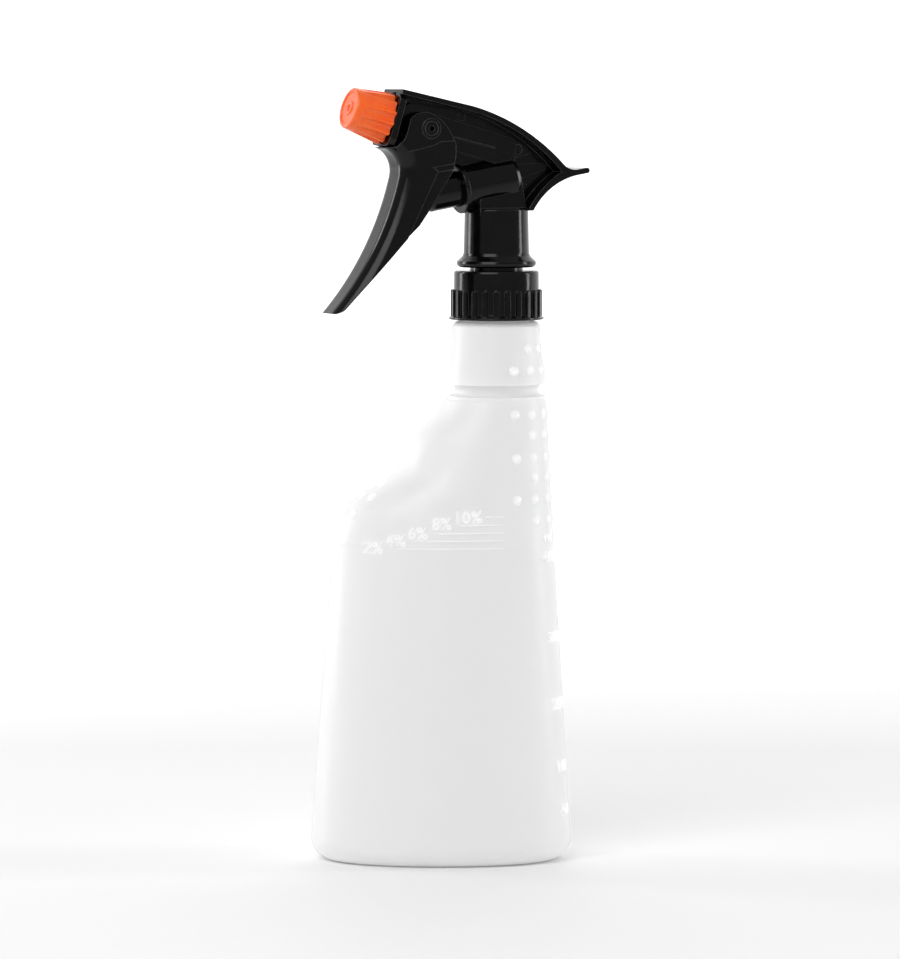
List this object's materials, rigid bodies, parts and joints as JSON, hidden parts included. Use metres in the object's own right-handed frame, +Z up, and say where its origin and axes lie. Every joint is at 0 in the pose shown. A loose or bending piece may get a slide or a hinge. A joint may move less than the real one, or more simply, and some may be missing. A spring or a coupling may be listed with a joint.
{
  "type": "hand mister",
  "caption": "Trigger spray bottle: translucent oval bottle with a forward shoulder, black trigger head on a fluted screw collar, and an orange ribbed nozzle.",
  "frame": {"origin": "on the ground, under the middle of the outline", "axes": "+Z up, -X towards the front of the bottle, under its high shoulder; the nozzle points 25 degrees round from -X towards -Y"},
  "size_m": [0.1004, 0.0633, 0.2774],
  "materials": {
    "bottle_pe": "natural polyethylene, translucent, satin",
    "black_pp": "black polypropylene, glossy with fine mould texture",
    "orange_pp": "orange polypropylene, satin gloss",
    "seal_rubber": "pale elastomer",
    "clear_pe": "translucent polyethylene tube",
    "white_pp": "white moulded polypropylene",
    "spring_steel": "drawn stainless wire",
    "valve_glass": "clear glass ball"
  },
  "bodies": {
    "bottle": {"bottle": "bottle_pe"},
    "gasket": {"neck_gasket": "seal_rubber"},
    "sprayer": {"sprayer_body": "black_pp", "tube_adapter": "white_pp", "dip_tube": "clear_pe", "strainer": "white_pp", "return_spring": "spring_steel", "outlet_valve_spring": "spring_steel", "swirl_core": "white_pp"},
    "collar": {"screw_collar": "black_pp"},
    "trigger": {"trigger": "black_pp"},
    "piston": {"piston": "black_pp", "piston_front_seal": "seal_rubber", "piston_rear_seal": "seal_rubber"},
    "nozzle_seal": {"nozzle_seal": "seal_rubber"},
    "nozzle": {"nozzle_cap": "orange_pp"},
    "inlet_ball": {"inlet_ball": "valve_glass"},
    "outlet_valve": {"outlet_valve": "white_pp"}
  },
  "joints": [
    {"name": "head_lift", "type": "slide", "parent": "bottle", "child": "gasket", "axis": [0, 0, 1], "range_m": [0, 0.21]},
    {"name": "head_rise", "type": "slide", "parent": "gasket", "child": "sprayer", "axis": [0, 0, 1], "range_m": [0, 0.00634]},
    {"name": "collar_turn", "type": "hinge", "parent": "sprayer", "child": "collar", "pos_m": [0.0166, 0.0018, 0.203], "axis": [0, 0, 1], "range_deg": [0, 540]},
    {"name": "trigger_pull", "type": "hinge", "parent": "sprayer", "child": "trigger", "pos_m": [-0.01032, -0.01075, 0.263], "axis": [0.4226, -0.9063, 0], "range_deg": [0, 18], "stiffness_Nm_per_rad": 0.35, "springref_deg": -8.59},
    {"name": "piston_slide", "type": "slide", "parent": "sprayer", "child": "piston", "axis": [0.8925, 0.4162, 0.1736], "range_m": [0, 0.00754], "deforming": ["return_spring"]},
    {"name": "nozzle_advance", "type": "slide", "parent": "sprayer", "child": "nozzle_seal", "axis": [-0.8712, -0.4062, 0.2756], "range_m": [0, 0.0025]},
    {"name": "nozzle_turn", "type": "hinge", "parent": "nozzle_seal", "child": "nozzle", "pos_m": [-0.02147, -0.01595, 0.2659], "axis": [-0.8712, -0.4062, 0.2756], "range_deg": [0, 360]},
    {"name": "inlet_ball_lift", "type": "slide", "parent": "sprayer", "child": "inlet_ball", "axis": [0, 0, 1], "range_m": [0, 0.0015]},
    {"name": "outlet_valve_lift", "type": "slide", "parent": "sprayer", "child": "outlet_valve", "axis": [-0.8712, -0.4062, 0.2756], "range_m": [0, 0.001], "stiffness_N_per_m": 30, "springref_m": -0.002, "deforming": ["outlet_valve_spring"]}
  ],
  "couplings": [
    {"joint": "head_rise", "follows": "collar_turn", "m_per_rad": 0.00067322},
    {"joint": "piston_slide", "follows": "trigger_pull", "m_per_rad": 0.023686},
    {"joint": "nozzle_advance", "follows": "nozzle_turn", "m_per_rad": 0.00039789}
  ]
}
